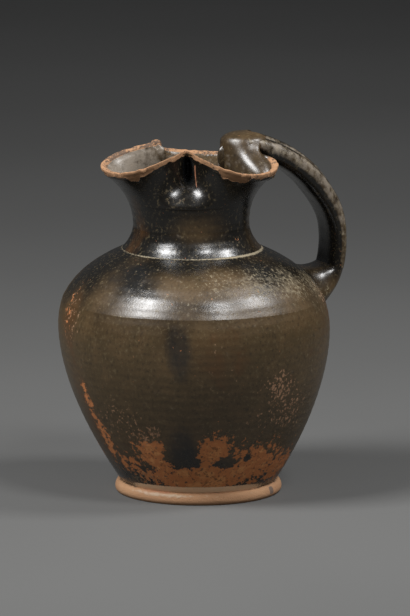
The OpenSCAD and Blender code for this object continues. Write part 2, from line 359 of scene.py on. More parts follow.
def paint(piece, **values):
    """Keeps each name's values, one a point, as an attribute that a material or a tree reads."""
    for name, numbers in values.items():
        layer = piece.data.attributes.new(name, "FLOAT", "POINT")
        layer.data.foreach_set("value", np.asarray(numbers, np.float32))

# ---- colour and materials

def linear(hex_colour):
    """An sRGB hex colour as linear red, green, blue and alpha."""
    channels = [int(hex_colour[i:i + 2], 16) / 255 for i in (1, 3, 5)]
    return (*[c / 12.92 if c <= 0.04045 else ((c + 0.055) / 1.055)**2.4 for c in channels], 1)

def pattern_scale(size_mm):
    """Texture scale for features of this size."""
    return 1 / (size_mm * MM)

def clay_material(name, ground, layers, patterns, relief, relief_depth, gloss, ior=1.5):
    """A surface built up as it came about, one layer over another.

    patterns: name, size in millimetres, detail, roughness, stretch upwards.
    layers: mark that places the layer (or none), pattern that breaks its edge, how strongly
    it breaks it, where the layer starts and where it is full, how much it covers, its
    colour, its roughness (or none to keep what lies under it) and how far it stands up.
    relief: pattern and share of the relief. relief_depth: its depth in millimetres.
    gloss: pattern, least and greatest roughness."""
    material = bpy.data.materials.new(name)
    material.use_nodes = True
    tree = material.node_tree
    node = partial(add, tree)
    place = node("ShaderNodeTexCoord", out="Object")
    pattern = {}
    for label, size_mm, detail, roughness, stretch in patterns:
        at = node("ShaderNodeMapping", place, named={"Scale": (1, 1, stretch)})
        pattern[label] = node(NOISE, named={"Vector": at, "Scale": pattern_scale(size_mm),
                                            "Detail": detail, "Roughness": roughness})
    colour = linear(ground)
    rough_now = node(RANGE, pattern[gloss[0]], 0.3, 0.7, gloss[1], gloss[2])
    height = 0.0
    for label, share in relief:
        height = node(MATHS, pattern[label], share, height, operation="MULTIPLY_ADD")
    for mark, breaker, breaking, start, full, cover, paint_colour, rough_layer, stands in layers:
        amount = 0.5 if mark is None else node("ShaderNodeAttribute", out="Fac", attribute_name=mark)
        spread = node(MATHS, pattern[breaker], breaking, -breaking / 2, operation="MULTIPLY_ADD")
        amount = node(MATHS, amount, spread, operation="ADD")
        amount = node(RANGE, amount, start, full, 0, cover, interpolation_type="SMOOTHSTEP")
        colour = node(MIX, named={0: amount, 6: colour, 7: linear(paint_colour)}, out=2,
                      data_type="RGBA")
        if rough_layer is not None:
            rough_now = node(MIX, named={0: amount, 2: rough_now, 3: rough_layer})
        if stands:
            height = node(MATHS, amount, stands, height, operation="MULTIPLY_ADD")
    normal = node("ShaderNodeBump", named={"Height": height, "Distance": relief_depth * MM})
    shader = tree.nodes["Principled BSDF"]
    for socket, value in {"Base Color": colour, "Roughness": rough_now, "Normal": normal}.items():
        tree.links.new(value, shader.inputs[socket])
    shader.inputs["IOR"].default_value = ior
    return material

# The real grain of slip, clay, lime and paper is finer than 0.2 mm, too fine to show. It is
# drawn coarser, at 0.8 to 1.5 mm.

# Orange clay under a thin slip that sintered to a half-glossy black-brown in the kiln. It
# gives near-black on the neck, olive brown where the slip is thin, rust where it burnt red,
# matt clay with a speckled edge where it wore off, and pale lime where it lay in the ground.
# Some layers also carry painted light and shade: dark grey in the thumb pit is painted
# shade; pale dust and thin slip on the strap's near edge and pale dust inside the spout are
# partly painted highlight; the strap's inner face is painted black as painted shade; and the
# hem is painted paler than the foot's clay against the shade on its downward face.
slip_skin = clay_material(
    "sintered_black_slip_on_clay", "#171512",
    # Thin slip shows olive brown; on the strap's near edge it is partly painted highlight, and its lack
    # on the inner face is painted shade.
    [("thin", "cloud", 0.9, 0.25, 0.85, 1, "#54422a", 0.4, 0),
     ("thin", "blotch", 1.6, 0.55, 1.1, 0.5, "#392f1b", None, 0),
     (None, "speckle", 2.4, 0.6, 1.0, 0.42, "#6a5d43", 0.45, 0),
     (None, "speckle", 2.2, 0.36, 0.12, 0.4, "#151310", None, 0),
     (None, "mottle", 2.6, 0.9, 1.3, 0.3, "#5c4a30", 0.45, 0.3),
     ("rust", "blotch", 1.2, 0.35, 1.0, 0.85, "#553a20", None, 0),
     # Smoke greys the slip on the body; in the thumb pit the same dark grey is painted shade.
     ("smoke", "blotch", 0.5, 0.3, 0.9, 0.85, "#1b1d1f", None, 0),
     # Pale dust; inside the spout and on the strap's near edge it is also painted highlight.
     ("dust", "mottle", 2.0, 0.25, 1.0, 0.85, "#847a6e", 0.36, 0.3),
     ("bare", "wear", 2.6, 0.46, 0.62, 1, "#bd7746", 0.85, -1.2),
     ("bare", "mottle", 2.4, 0.8, 1.3, 0.7, "#d8995f", 0.85, 0),
     ("bare", "speckle", 3.6, 1.0, 1.5, 0.7, "#5a3b24", 0.8, 0.6),
     # The hem is the foot's clay, painted paler than the foot to offset the shade on its downward face:
     # painted light.
     ("hem", "grain", 0.5, 0.4, 0.6, 0.95, "#ecc9a4", 0.88, -0.4),
     ("fleck", "speckle", 2.8, 0.72, 0.95, 0.8, "#a57d60", 0.85, -1),
     ("chip", "mottle", 0.6, 0.4, 0.8, 0.9, "#a06a4c", 0.9, 0),
     ("rim", "mottle", 0.9, 0.35, 0.7, 0.95, "#9f7755", 0.88, 0),
     ("rim_dirt", "speckle", 2.4, 0.45, 0.85, 0.85, "#42342a", 0.8, -1),
     ("crust", "wear", 1.8, 0.4, 1.1, 0.5, "#7f735b", 0.85, 1.5),
     ("crust", "speckle", 2.4, 0.6, 1.1, 0.5, "#91856b", 0.9, 2.0),
     ("lime", "grain", 0.8, 0.35, 0.7, 0.8, "#978b72", 0.9, 1.2)],
    [("cloud", 26, 3, 0.5, 0.7), ("blotch", 8, 4, 0.6, 0.8), ("mottle", 4, 4, 0.6, 1),
     ("wear", 2.6, 5, 0.68, 1), ("speckle", 1.5, 3, 0.6, 0.8), ("grain", 0.9, 2, 0.6, 1),
     ("wheel", 7, 4, 0.6, 7)],
    [("grain", 1.0), ("speckle", 0.6), ("wheel", 0.3)], 0.05, ("mottle", 0.18, 0.3), ior=1.53)

# Bare clay of the foot, turned and fired: matt pinkish tan, whitish with lime on the upper
# edge, with a reddish smear, one brown stain, and grime below the body.
foot_clay = clay_material(
    "turned_and_fired_orange_clay", "#a67d5b",
    [(None, "cloud", 1.8, 0.4, 0.9, 0.7, "#b48c68", None, 0),
     (None, "wear", 2.2, 0.6, 0.95, 0.6, "#a97a58", None, -0.4),
     ("rust", "blotch", 1.2, 0.3, 0.8, 0.6, "#9c5f43", None, 0),
     ("bloom", "mottle", 1.4, 0.35, 0.9, 0.75, "#bdab95", None, 0.5),
     ("grime", "wear", 2.0, 0.4, 0.8, 0.85, "#5f4a38", None, 0),
     ("stain", "grain", 0.6, 0.4, 0.6, 0.85, "#5f544d", None, 0)],
    [("cloud", 16, 3, 0.5, 1), ("blotch", 6, 4, 0.6, 2), ("mottle", 3, 4, 0.6, 2),
     ("wear", 1.8, 5, 0.65, 1), ("grain", 0.9, 3, 0.6, 1)],
    [("grain", 0.7), ("wear", 1.0)], 0.3, ("mottle", 0.75, 0.95))

# Crumbs of lime from the soil: matt, greyish cream
lime_crust = clay_material(
    "lime_crust", "#7d725a", [(None, "grain", 2.0, 0.4, 0.8, 1, "#a39678", None, 0)],
    [("grain", 0.8, 3, 0.6, 1)], [("grain", 1.0)], 0.1, ("grain", 0.85, 0.95))

# ---- thrown sections

def thrown_tree():
    """A section as the wheel makes it: an outline turned round the axis, with the ridges of
    the fingers, the unevenness of the hand, and the lean of the finished jug."""
    tree, node, given = new_tree("thrown_section", {
        "Columns": "Int", "Lean": "Float", "Lean Height": "Float", "Ridge Height": "Float",
        "Ridge Spacing": "Float", "Unevenness": "Float", "Unevenness Size": "Float",
        "Material": "Material"})
    rows = node("GeometryNodeAttributeDomainSize", given["Geometry"])
    columns = node(MATHS, given["Columns"], 1.0, operation="ADD")
    grid = node("GeometryNodeMeshGrid", 1.0, 1.0, columns, rows)
    across = node(SPLIT_XYZ, node(POSITION), out="X")
    along = node(SPLIT_XYZ, node(POSITION), out="Y")
    last_row = node(MATHS, rows, 1.0, operation="SUBTRACT")
    row = node(MATHS, node(MATHS, along, 0.5, operation="ADD"), last_row, operation="MULTIPLY")
    row = node(MATHS, row, operation="ROUND")
    angle = node(MATHS, across, math.tau, math.pi, operation="MULTIPLY_ADD")
    outline = node("GeometryNodeSampleIndex", given["Geometry"], node(POSITION), row,
                   data_type="FLOAT_VECTOR")
    radius = node(SPLIT_XYZ, outline, out="X")
    height = node(SPLIT_XYZ, outline, out="Z")
    cosine = node(MATHS, angle, operation="COSINE")
    sine = node(MATHS, angle, operation="SINE")

    # Unevenness and finger ridges, fading out at the axis
    around = node(JOIN_XYZ, node(MATHS, radius, cosine, operation="MULTIPLY"),
                  node(MATHS, radius, sine, operation="MULTIPLY"), height)
    lump_scale = node(MATHS, 1.0, given["Unevenness Size"], operation="DIVIDE")
    lumps = node(NOISE, named={"Vector": around, "Scale": lump_scale, "Detail": 1.0})
    lumps = node(MATHS, lumps, 0.6, operation="SUBTRACT")
    lumps = node(MATHS, lumps, given["Unevenness"], operation="MULTIPLY")
    drift = node(NOISE, named={"Vector": around, "Scale": pattern_scale(45)})
    turn = node(MATHS, height, given["Ridge Spacing"], operation="DIVIDE")
    turn = node(MATHS, turn, math.tau, operation="MULTIPLY")
    ridges = node(MATHS, node(MATHS, drift, 9.0, turn, operation="MULTIPLY_ADD"), operation="SINE")
    change = node(MATHS, ridges, given["Ridge Height"], lumps, operation="MULTIPLY_ADD")
    fade = node(MATHS, node(MATHS, radius, 10 * MM, operation="DIVIDE"), 1.0, operation="MINIMUM")
    new_radius = node(MATHS, change, fade, radius, operation="MULTIPLY_ADD")

    leaned = node(MATHS, given["Lean Height"], height, operation="SUBTRACT")
    leaned = node(MATHS, leaned, given["Lean"], operation="MULTIPLY")
    place = node(JOIN_XYZ, node(MATHS, new_radius, cosine, leaned, operation="MULTIPLY_ADD"),
                 node(MATHS, new_radius, sine, operation="MULTIPLY"), height)
    end_tree(node, node(SET_POSITION, grid, named={"Position": place}), given["Material"])
    return tree

throwing = thrown_tree()

def thrown_piece(name, outline, material, columns=340, leaning=True, ridge=0.04, uneven=0.8):
    """One thrown section from its outline in millimetres."""
    source = outline_object(name + "_outline", outline)
    mesh = grow(source, throwing, {
        "Columns": columns, "Lean": lean if leaning else 0.0, "Lean Height": foot_h * MM,
        "Ridge Height": ridge * MM, "Ridge Spacing": finger_ridge_spacing * MM,
        "Unevenness": uneven * MM, "Unevenness Size": unevenness_size * MM, "Material": material})
    bpy.data.objects.remove(source)
    return finished(name, mesh, material)

def closed(outline):
    """The outline with its first point again at its end."""
    return np.vstack((outline, outline[:1]))

def quarter(centre, radius_x, radius_z, start, end, steps=8):
    """An arc of an upright ellipse, with its angles in degrees."""
    angles = np.radians(np.linspace(start, end, steps + 1))
    return np.column_stack((centre[0] + radius_x * np.cos(angles),
                            centre[1] + radius_z * np.sin(angles)))

def foot_ring():
    """The ring with its rounded edge and flat resting face."""
    inner_r = foot_rest_r - foot_ring_w
    edge_r = foot_edge_r - 0.1
    lower = quarter((foot_rest_r, foot_edge_z), edge_r - foot_rest_r, foot_edge_z, -90, 0, 12)
    upper = quarter((foot_waist_r, foot_edge_z), edge_r - foot_waist_r, foot_h - foot_edge_z, 0, 90, 14)
    inside = quarter((inner_r + 1, 1), 1, 1, 180, 270, 6)
    rest = np.column_stack((np.linspace(inner_r + 1, foot_rest_r, 9)[1:-1], np.zeros(7)))
    outline = np.vstack((inside, rest, lower, upper[1:], [(inner_r - 1.5, foot_h), (inner_r, 1.05)]))
    return thrown_piece("foot_ring_turned", closed(outline), foot_clay, leaning=False, ridge=0.02,
                        uneven=0.5)

def lower_body():
    """The bowl with its floor, and a hollow curve between floor and wall."""
    heights = foot_h + (shoulder_join_z - foot_h) * shares(104)
    outer = np.column_stack((body_r(heights), heights))
    inner = wall_inside(outer[::2], body_wall)
    floor_z = foot_h + floor_t
    corner_r, corner_h = 9, 6.75
    inner = inner[inner[:, 1] > floor_z + corner_h][::-1]
    corner = quarter((inner[-1][0] - corner_r, floor_z + corner_h), corner_r, corner_h, 0, -90)
    floor = np.column_stack((np.linspace(corner[-1][0], 0, 14)[1:], np.full(13, floor_z)))
    underside = np.column_stack((np.linspace(0, foot_waist_r, 12)[:-1], np.full(11, foot_h)))
    join = np.array([(inner[0][0], shoulder_join_z)])
    outline = np.vstack((underside, outer, join, inner[1:], corner[1:], floor))
    return thrown_piece("lower_body_thrown", outline, slip_skin)

# The way through the neck, at its foot
passage_r = neck_seam_r - body_wall - neck_wall

def shoulder():
    """The vault over the bowl, open at the neck's foot."""
    heights = shoulder_join_z + (neck_seam_z - shoulder_join_z) * shares(56)
    outer = np.column_stack((body_r(heights), heights))
    inner = wall_inside(outer[::2], body_wall)
    inner = inner[(inner[:, 0] > passage_r) & (inner[:, 1] > shoulder_join_z + 1)][::-1]
    top = [(passage_r, neck_seam_z), (passage_r, inner[0][1])]
    foot = [(outer[0][0] - body_wall, shoulder_join_z)]
    return thrown_piece("shoulder_thrown", closed(np.vstack((outer, top, inner, foot))), slip_skin)

def neck():
    """The neck from its seam over its waist to the mouth's join."""
    outer = np.vstack((bezier(neck_fillet_curve, shares(26)), bezier(neck_top_curve, shares(20))[1:]))
    inner = wall_inside(outer[::2], neck_wall)
    inner = inner[(inner[:, 0] < passage_r) & (inner[:, 1] < mouth_join_z - 0.8)][::-1]
    top = [(mouth_join_r - neck_wall, mouth_join_z)]
    foot = [(passage_r, neck_seam_z)]
    return thrown_piece("neck_thrown", closed(np.vstack((outer, top, inner, foot))), slip_skin,
                        columns=300)

# ---- trefoil mouth

mouth_columns = 720

def rim_rise(a):
    """How far the rim stands above the lobes, over the pinches and under the handle."""
    pinched = (dent(a, front_pinch_angle, pinch_rise_spread, 2.3)
               + dent(a, back_pinch_angle, pinch_rise_spread))
    return np.maximum(pinch_rise * pinched, rim_seat_rise * dent(a, 0, rim_seat_spread))

def mouth_r(a, t):
    """Outer radius of the mouth, from its join at 0 to the foot of the lip at 1."""
    drawn_in = ((lobe_r - front_pinch_r) * dent(a, front_pinch_angle, pinch_spread)
                + (lobe_r - back_pinch_r) * dent(a, back_pinch_angle, pinch_spread)
                + (lobe_r - handle_press_r) * dent(a, 0, handle_press_spread, handle_press_power))
    return bezier(flare_curve, t)[..., 0] - smooth(t) * drawn_in

def mouth_z(a, t):
    """Height of the mouth's wall in direction a, at the share t of its flare."""
    return bezier(flare_curve, t)[..., 1] + t**2 * rim_rise(a)

def mouth_share(a, z):
    """How far up the flare a height lies in direction a, from 0 at the join to 1."""
    low, high = np.zeros(len(a)), np.ones(len(a))
    for _ in range(16):
        middle = (low + high) / 2
        under = mouth_z(a, middle) < z
        low = np.where(under, middle, low)
        high = np.where(under, high, middle)
    return low

def thumb_pit(a, r, z):
    """How deep the wall is pushed in beside the fold of the front pinch."""
    across = np.radians(angle_gap(a, thumb_pit_angle)) * r
    side = bump_at(across, 0, thumb_pit_half_w, np.where(across < 0, 4.0, 2.4))
    return thumb_pit_depth * side * bump_at(z, thumb_pit_z, thumb_pit_half_h, 3.5)

def flaked(a):
    """Depth of the flakes below the worn edge in direction a, in millimetres."""
    return sum(depth * dent(a, middle, half, 3) for middle, half, depth in lip_flakes)

def trefoil_mouth():
    """The flare pinched to three lobes, with its lip worn, flaked and bitten."""
    angles = np.arange(mouth_columns) * 360 / mouth_columns
    whole = np.ones(mouth_columns)
    uneven = 0.35 * rough(angles, 26, 1.0)
    ragged = rough(angles, 3.2, 5.0)
    bites = smooth((rough(angles, 4.5, 9.0) - 0.25) / 0.5)
    inner_bites = smooth((rough(angles, 5.5, 14.0) - 0.2) / 0.5)
    # A broken end of the rim stands up beside the back pinch
    from_end = angle_gap(angles, broken_end_angle)
    broken = smooth((from_end + 9) / 1.2) * smooth((9 - from_end) / 5)
    flakes = flaked(angles)
    rings = []

    def ring(r, z):
        rings.append(round_point(angles, r, z))

    def flake(from_top, depth):
        """How deep the flakes cut in, this far below the rim's top."""
        return depth * smooth((flakes + worn_edge_h + 0.4 * ragged - from_top) / 0.5) * (flakes > 0.4)

    # The outer wall
    rim_foot_z = mouth_z(angles, whole)
    for t in shares(60):
        r, z = mouth_r(angles, t * whole), mouth_z(angles, t * whole)
        ring(r - thumb_pit(angles, r, z) - flake(rim_foot_z + lip_h - z, 0.45) + t * uneven, z)

    # The lip: a flared outer face, a top that slopes inwards, and its bitten edges. Its profile
    # is drawn for a flare of 1.6 mm and a height of 3.8 mm.
    rim_r = mouth_r(angles, whole)
    rim_pit = thumb_pit(angles, rim_r, rim_foot_z)
    lip = [(0.55, 0.8), (0.85, 1.3), (1.1, 1.7), (1.35, 2.3), (1.6, 3.0), (1.62, 3.5), (1.35, 3.75),
           (0.7, 3.85), (0.0, 3.75), (-0.7, 3.6), (-1.3, 3.4), (-1.75, 3.0), (-2.0, 2.4)]
    for out, up in lip:
        edge = np.clip((out - 0.4) / 1.2, 0, 1) * (up > 2) * bites
        inner_edge = np.clip((-out - 0.4) / 1.2, 0, 1) * inner_bites
        lower = (0.55 * edge + 0.7 * inner_edge + 0.16 * ragged) * (up > 2) - 1.1 * broken * (up > 2.5)
        bitten = 0.5 * edge - 0.4 * inner_edge + flake(lip_h - up, 0.4) * (up < 2)
        ring(rim_r + out * lip_flare / 1.6 - bitten - rim_pit + uneven,
             rim_foot_z + (up - lower) * lip_h / 3.8)

    # The inner wall
    slope = np.gradient(bezier(flare_curve, np.linspace(0, 1, 50)), axis=0)
    for t in np.linspace(1, 0, 40):
        r, z = mouth_r(angles, t * whole), mouth_z(angles, t * whole)
        steep = np.interp(t, np.linspace(0, 1, 50), slope[:, 0] / slope[:, 1])
        wall = neck_wall + (lip_t - neck_wall) * t + 1.2 * np.clip(steep, 0, 1) * (1 - t)
        ring(r - wall - 0.8 * thumb_pit(angles, r, z) + 0.3 * t * uneven, z + lip_h * 0.3 * t**2)
    return skinned("trefoil_mouth_pinched", rings, slip_skin, looped=True)

# ---- handle

def leant(point):
    """A point [x, z] of the handle before the lean, as the CAD model turns it."""
    x, z = point[0], point[1] - foot_h
    turn = math.atan(lean)
    return (x * math.cos(turn) - z * math.sin(turn), foot_h + x * math.sin(turn) + z * math.cos(turn))

strap_start = (strap_start_x - 3, strap_mid_z)
strap_arc = [strap_start, (strap_start_x + 14, strap_mid_z), (handle_reach, handle_reach_z + 29),
             (handle_reach, handle_reach_z)]
strap_bend = [(handle_reach, handle_reach_z), (handle_reach, handle_reach_z - 7),
              tuple(strap_end - strap_end_pull), tuple(strap_end)]
strap_line = np.vstack((bezier(strap_arc, np.linspace(0, 1, 90)),
                        bezier(strap_bend, np.linspace(0, 1, 22))[1:]))
strap_columns = 96

def strap_section(points):
    """The strap's section in half sizes: a raised middle rib between two lower edge ribs, as
    the pulling fingers leave it, and a plain inner face."""
    turn = np.linspace(0, math.tau, points + 1)
    across = np.sign(np.cos(turn)) * np.abs(np.cos(turn))**0.55
    out = np.sin(turn)
    outer = np.sin(turn) > 0.02
    rib = 0.84 + 0.16 * bump_at(across, 0, 0.4, 4)
    groove = 0.17 * bump_at(np.abs(across), 0.48, 0.1)
    return np.column_stack((across, np.where(outer, out * rib - groove, out)))

def strap_tree():
    """A strap pulled by hand: its section swept along its line, thicker on its inner side
    where the line says so, with unevenness from the fingers."""
    tree, node, given = new_tree("pulled_strap", {
        "Section": "Object", "Half Width": "Float", "Half Thickness": "Float",
        "Extra Thickness": "Float", "Lumps": "Float", "Lump Size": "Float", "Seed": "Float",
        "Material": "Material"})
    line = node("GeometryNodeMeshToCurve", given["Geometry"])
    line = node("GeometryNodeSetCurveNormal", named={"Curve": line, "Normal": (0, 1, 0)}, mode="FREE")
    section = node("GeometryNodeObjectInfo", given["Section"], out="Geometry")
    at = node(VECTOR_MATHS, node(POSITION), named={"Scale": 1 / MM}, operation="SCALE")
    wide = node(MATHS, node(SPLIT_XYZ, at, out="X"), given["Half Width"], operation="MULTIPLY")
    thick = node(MATHS, node(SPLIT_XYZ, at, out="Z"), given["Half Thickness"], operation="MULTIPLY")
    section = node(SET_POSITION, section, named={"Position": node(JOIN_XYZ, wide, thick)})
    section = node("GeometryNodeMeshToCurve", section)
    strap = node("GeometryNodeCurveToMesh", line,
                 named={"Profile Curve": section, "Fill Caps": True})

    # Extra clay on the inner side, and the unevenness of pulling
    outward = node(JOIN_XYZ, node(STORED, "outward_x"), 0.0, node(STORED, "outward_z"))
    inward = node(MATHS, node(STORED, "side"), 0.5, -0.5, operation="MULTIPLY_ADD")
    inward = node(MATHS, inward, node(STORED, "thicker"), operation="MULTIPLY")
    inward = node(MATHS, inward, given["Extra Thickness"], operation="MULTIPLY")
    push = node(VECTOR_MATHS, outward, named={"Scale": inward}, operation="SCALE")
    strap = node(SET_POSITION, strap, named={"Offset": push})
    lump_scale = node(MATHS, 1.0, given["Lump Size"], operation="DIVIDE")
    lumps = node(NOISE, named={"W": given["Seed"], "Detail": 2.0, "Scale": lump_scale},
                 noise_dimensions="4D")
    lumps = node(MATHS, lumps, 0.6, operation="SUBTRACT")
    lumps = node(MATHS, lumps, given["Lumps"], operation="MULTIPLY")
    push = node(VECTOR_MATHS, node("GeometryNodeInputNormal"), named={"Scale": lumps}, operation="SCALE")
    strap = node(SET_POSITION, strap, named={"Offset": push})
    end_tree(node, strap, given["Material"])
    return tree

def handle():
    """The strap from the clay in the mouth, over its arc, to the clay on the shoulder."""
    points = np.array([leant(p) for p in strap_line])
    along = directions(points)
    thicker = smooth((points[:, 0] - 26) / 12) * smooth((points[:, 1] - 122) / 32)
    line = outline_object("strap_line", points, outward_x=-along[:, 1], outward_z=along[:, 0],
                          thicker=thicker)
    profile = strap_section(strap_columns)
    section = outline_object("strap_section", profile, side=profile[:, 1])
    mesh = grow(line, strap_tree(), {
        "Section": section, "Half Width": strap_w / 2 * MM, "Half Thickness": strap_t / 2 * MM,
        "Extra Thickness": strap_extra_t * MM, "Lumps": 0.7 * MM, "Lump Size": 14 * MM, "Seed": 3.0,
        "Material": slip_skin})
    for source in (line, section):
        bpy.data.objects.remove(source)
    return finished("handle_strap_pulled", mesh, slip_skin, crisp_angle=70)

def handle_upper_root():
    """The clay column that carries the strap's end, pressed down inside the mouth and spread
    over the inside of the near lobe."""
    columns = 120
    angles = np.radians(np.arange(columns) * 360 / columns)
    near_side = np.clip(-np.sin(angles), 0, 1)
    rings = []
    for share in np.linspace(0, 1, 60):
        if share < 0.5:
            z = column_base_z + (column_side_top_z - column_base_z) * share / 0.5
            shrink = 1.0
        else:
            rise = math.radians(88 * (share - 0.5) / 0.5)
            z = column_side_top_z + (column_top_z - column_side_top_z) * math.sin(rise)
            shrink = (1 - math.sin(rise)**column_dome_power)**(1 / column_dome_power)
        front = column_front * shrink - 12 * (1 - smooth((z - 149) / 11))
        back = (column_back + column_strap_reach * smooth((z - 172) / 4) * shrink
                + column_lobe_reach * smooth((173 - z) / 9) * near_side)
        reach = np.where(np.cos(angles) < 0, front, back)
        dimple = 0.5 * bump_at(z, 176.5, 2.2) * bump_at(np.degrees(angles), 215, 26)
        spread = column_spread * smooth((177 - z) / 17) * near_side
        x = column_x + (reach - dimple) * np.cos(angles) - axis_x(z)
        y = ((column_half_w + spread) * shrink - dimple) * np.sin(angles)
        # Low down, the wall of the mouth holds the clay in
        a, r, level = np.degrees(np.arctan2(y, x)), np.hypot(x, y), np.full(columns, z)
        r = np.minimum(r, mouth_r(a, mouth_share(a, level)) - 1.5 + 14 * smooth((z - 157) / 9))
        rings.append(round_point(a, r, level))
    return skinned("handle_upper_root_luted", rings, slip_skin)

def body_point(a, z):
    """A point on the body's outer skin."""
    return round_point(a, body_r(z), z)

def handle_lower_root():
    """The strap's lower end, spread over the shoulder by the fingers in a hollow curve."""
    section = strap_section(strap_columns)[:-1]
    end_x, end_z = leant(strap_end)
    toward = Vector(strap_end_pull).normalized()
    straight = np.array((toward.x, 0, toward.y))
    across = section[:, 0] * strap_w / 2
    out = section[:, 1] * strap_t / 2
    start = np.column_stack((end_x - out * toward.y, across, end_z + out * toward.x))
    start[:, 0] -= 0.3 * np.sign(section[:, 1])
    spread = section / np.maximum(np.linalg.norm(section, axis=1), 0.2)[:, None]
    foot_z = smear_z - np.where(spread[:, 1] < 0, smear_up, smear_down) * spread[:, 1]
    foot = body_point(np.degrees(spread[:, 0] * smear_half_w / body_r(foot_z)), foot_z)
    # The foot lies just under the body's skin
    foot -= (foot - (axis_x(smear_z), 0, 90)) * 0.012
    near = body_point(np.degrees(across / 64), 99.5 - out * 1.3)
    near += (start - near) * 0.2
    # On its outer side the clay runs straight on from the strap
    near += (start + straight * smear_outer_straight - near) * smooth(section[:, 1] * 1.4 + 0.5)[:, None]
    # Everywhere but inside the arc it leaves the strap without a step
    first = start + straight * smear_straight * smooth(section[:, 1] + 1)[:, None]
    rings = [start + (0.5, 0, 2.5)]
    for t in np.linspace(0, 1, 30):
        rings.append(bezier([start, first, near, foot], t))
    rings.append(foot - (5, 0, 0))
    return skinned("handle_lower_root_smeared", rings, slip_skin)

# ---- wear, with some painted light and shade, painted as attributes

# What shows on the body: bare clay, the foot's clay smeared up over the front (hem, painted paler
# than the foot's clay as painted light against the shade on its downward face), small flakes,
# thin slip, slip burnt red, slip greyed by smoke, and lime crust.
# Each mark: direction, height, half width and half height in millimetres, strength, and how
# square its outline is. Negative strength takes away.
body_marks = {
    "bare": [
        (220.5, 28, 9, 7.5, 1.0, 3), (226, 20.5, 7.5, 7, 1.05, 2), (253, 29, 9.5, 8.5, 1.05, 3),
        (243, 15, 22, 7.6, 1.15, 3), (276, 21, 20, 11, 0.86, 2), (262, 19, 12, 8, 0.9, 2),
        (305, 17, 14, 8, 0.8, 2), (282, 27, 5, 3.5, 0.95, 2), (185.5, 50, 3.5, 13, 0.66, 2),
        (188, 32, 5, 12, 0.7, 2), (200, 19, 12, 6, 0.62, 2), (214, 13.5, 9, 4, 0.7, 2),
        (236.6, 32.5, 6.4, 10.5, -1.35, 7), (262, 23, 5, 3.5, -0.8, 2), (274.5, 25, 1.6, 1.8, -1.2, 2),
        (239, 14, 6, 2.6, -0.5, 2), (176, 95, 5, 10, 0.4, 2), (40, 18, 30, 9, 0.8, 2),
        (110, 16, 34, 8, 0.85, 2), (150, 24, 16, 10, 0.6, 2), (75, 40, 9, 14, 0.5, 2)],
    "hem": [(243, 7.2, 34, 2.0, 1.1, 4), (276, 7, 16, 1.6, 0.8, 2)],
    "fleck": [
        (286, 61, 10, 11, 0.75, 2), (278, 63, 8, 5, 0.55, 2), (296, 48, 14, 14, 0.62, 2),
        (280, 46, 14, 8, 0.5, 2), (224, 40, 6, 5, 0.72, 2), (216, 36, 12, 7, 0.66, 2),
        (232, 37, 40, 4, 0.5, 2), (205, 44, 20, 12, 0.5, 2), (180, 92, 9, 14, 0.55, 2),
        (330, 100, 8, 8, 0.6, 2), (256, 74, 16, 18, 0.3, 2), (236.6, 32.5, 6.4, 10, -0.8, 7),
        (70, 60, 40, 30, 0.5, 2)],
    "thin": [
        (240, 62, 400, 44, 1.0, 6), (254, 112, 34, 9, 0.75, 2), (300, 100, 30, 14, 0.7, 2),
        (196, 98, 18, 13, 0.7, 2), (60, 80, 60, 45, 0.4, 2), (236.6, 32.5, 8, 12, -0.4, 3),
        (238, 86, 9, 17, -0.3, 2), (208, 86, 16, 10, -0.2, 2)],
    "rust": [
        (256, 80, 18, 20, 0.62, 2), (178, 90, 12, 20, 0.72, 2), (182, 45, 12, 34, 0.7, 2),
        (200, 28, 14, 18, 0.5, 2), (335, 92, 10, 16, 0.8, 2), (300, 60, 24, 26, 0.42, 2),
        (318, 84, 10, 14, 0.5, 2), (130, 60, 30, 34, 0.6, 2), (240, 45, 50, 9, 0.25, 2)],
    "smoke": [
        (238.5, 82, 8, 16, 0.72, 2), (236.6, 32.5, 7.5, 12, 0.7, 3), (274.5, 25, 2, 2, 1.0, 2),
        (208, 115, 18, 8, 0.6, 2), (290, 118, 16, 5, 0.5, 2), (60, 100, 30, 10, 0.5, 2)],
    "crust": [
        (262, 114, 14, 7, 0.5, 2), (284, 112, 16, 8, 0.62, 2), (304, 110, 16, 9, 0.66, 2),
        (330, 106, 16, 9, 0.66, 2), (318, 96, 14, 6, 0.45, 2), (206, 13, 16, 4.5, 0.6, 2),
        (258, 101, 14, 2.5, 0.45, 2), (245, 110, 60, 14, 0.3, 2), (245, 38, 50, 7, 0.34, 2),
        (310, 60, 22, 30, 0.36, 2), (312, 40, 12, 16, 0.5, 2), (80, 112, 50, 8, 0.5, 2),
        (45, 50, 20, 30, 0.4, 2), (180, 60, 60, 60, 0.22, 2), (236, 31, 9, 12, -0.5, 3)]}

def marked(kind, a, z, r):
    """How strongly the marks of one kind cover each point."""
    total = np.zeros(len(z))
    taken = np.zeros(len(z))
    for middle, height, half_w, half_h, strength, square in body_marks[kind]:
        across = np.radians(angle_gap(a, middle)) * r / half_w
        reach = (np.abs(across)**square + np.abs((z - height) / half_h)**square)**(1 / square)
        cover = 1 / (1 + reach**4)
        if strength > 0:
            total = np.maximum(total, strength * cover)
        else:
            taken = np.maximum(taken, -strength * cover)
    return total - taken

def point_values(piece, kind):
    """X, y and z of every point's place or normal."""
    values = np.empty(len(piece.data.vertices) * 3)
    piece.data.vertices.foreach_get(kind, values)
    return values.reshape(-1, 3).T

def points_of(piece):
    """Points of a piece as direction, height and radius about the leaning axis."""
    x, y, z = point_values(piece, "co") / MM
    x = x - axis_x(z)
    return np.degrees(np.arctan2(y, x)) % 360, z, np.hypot(x, y)

def seam_lime(a):
    """How much lime the neck's seam holds in direction a."""
    return 0.5 + 0.4 * dent(a, 302, 40) + 0.15 * dent(a, 205, 12)

